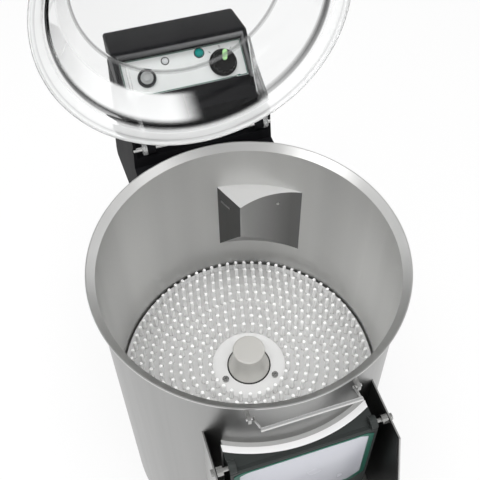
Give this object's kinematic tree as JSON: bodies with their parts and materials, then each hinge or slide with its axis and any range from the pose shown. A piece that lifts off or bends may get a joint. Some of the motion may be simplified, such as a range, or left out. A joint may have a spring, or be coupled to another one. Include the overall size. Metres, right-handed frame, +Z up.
{
  "type": "mussel cleaning machine",
  "caption": "Steel tub with a turning bristled disc, a hinged clear lid, a discharge chute with a flap door and a rear housing with controls.",
  "frame": {"origin": "middle of the machine's footprint on the floor", "axes": "+Z up, -Y towards the discharge chute, +X towards the timer knob's side"},
  "size_m": [0.424, 0.71, 1.0042],
  "materials": {
    "steel": "satin stainless sheet",
    "dark_steel": "satin stainless sheet, darker",
    "bright_steel": "bright stainless wire and fasteners",
    "white_plastic": "white food-grade plastic",
    "bristle": "white nylon bristles",
    "black_plastic": "black moulded plastic",
    "cover_plastic": "dark grey-green moulded plastic",
    "label": "pale plate with a dark green border, left bare",
    "clear": "clear moulded plastic",
    "panel": "white panel with a green tinted edge",
    "knob_black": "black moulded knob",
    "pointer": "light green pointer",
    "button_grey": "grey push button",
    "lamp_green": "green lens",
    "lamp_clear": "clear lens",
    "rubber": "black rubber",
    "aluminium": "machined aluminium",
    "cast": "cast iron, machined where it runs",
    "shaft": "turned steel",
    "paint": "black powder-coated sheet",
    "motor_paint": "blue-grey enamel",
    "brass": "brass body",
    "black_sheet": "black coated liner"
  },
  "bodies": {
    "machine": {"tub": "steel", "tub_floor": "steel", "deflector": "dark_steel", "deflector_rivet": "bright_steel", "door_seal": "rubber", "cheek_left": "steel", "cheek_right": "steel", "cheek_liner_left": "black_sheet", "cheek_liner_right": "black_sheet", "chute_floor": "steel", "door_pivots": "bright_steel", "bail_brackets": "steel", "bearing_housing": "cast", "bearings": "shaft", "shaft_seal": "rubber", "drive_belt": "rubber", "motor": "motor_paint", "motor_bracket": "steel", "base_plate": "steel", "feet": "rubber", "column": "paint", "column_cover": "paint", "hood": "black_plastic", "hinge_pin": "bright_steel", "hinge_collars": "black_plastic", "control_box": "black_plastic", "control_panel": "panel", "timer": "black_plastic", "button_ring": "button_grey", "pilot_lamp": "lamp_green", "indicator_lamp": "lamp_clear", "drain_pipe": "steel", "water_valve": "brass", "spray_tube": "white_plastic", "cable_gland": "black_plastic"},
    "lid": {"lid": "clear", "lid_catch": "clear"},
    "disc": {"brush_disc": "white_plastic", "bristles": "bristle", "disc_carrier": "aluminium", "hub": "aluminium", "disc_screws": "bright_steel", "drive_shaft": "shaft", "shaft_nut": "shaft", "large_pulley": "cast"},
    "motor_rotor": {"motor_shaft": "shaft", "motor_pulley": "cast"},
    "door": {"door_plate": "white_plastic", "door_cover": "cover_plastic", "door_label": "label"},
    "bail": {"bail": "bright_steel"},
    "knob": {"timer_knob": "knob_black", "knob_pointer": "pointer"},
    "button": {"button_cap": "button_grey"}
  },
  "joints": [
    {"name": "lid_hinge", "type": "hinge", "parent": "machine", "child": "lid", "pos_m": [0, 0.15, 0.5795], "axis": [1, 0, 0], "range_deg": [0, 91.5]},
    {"name": "disc_spin", "type": "hinge", "parent": "machine", "child": "disc", "pos_m": [0, -0.065, 0.269], "axis": [0, 0, 1], "continuous": true},
    {"name": "motor_spin", "type": "hinge", "parent": "machine", "child": "motor_rotor", "pos_m": [0, 0.235, 0.092], "axis": [0, 0, 1], "continuous": true},
    {"name": "door_hinge", "type": "hinge", "parent": "machine", "child": "door", "pos_m": [0, -0.283, 0.452], "axis": [-1, 0, 0], "range_deg": [0, 95]},
    {"name": "bail_hinge", "type": "hinge", "parent": "machine", "child": "bail", "pos_m": [0, -0.272, 0.547], "axis": [-1, 0, 0], "range_deg": [0, 62]},
    {"name": "timer_turn", "type": "hinge", "parent": "machine", "child": "knob", "pos_m": [0.059, 0.23763, 0.63106], "axis": [0, 0.6143, -0.7891], "range_deg": [0, 300]},
    {"name": "button_press", "type": "slide", "parent": "machine", "child": "button", "axis": [0, 0.6143, -0.7891], "range_m": [0, 0.0035], "stiffness_N_per_m": 600, "springref_m": -0.0008}
  ],
  "couplings": [
    {"joint": "motor_spin", "follows": "disc_spin", "ratio": 4.25}
  ]
}
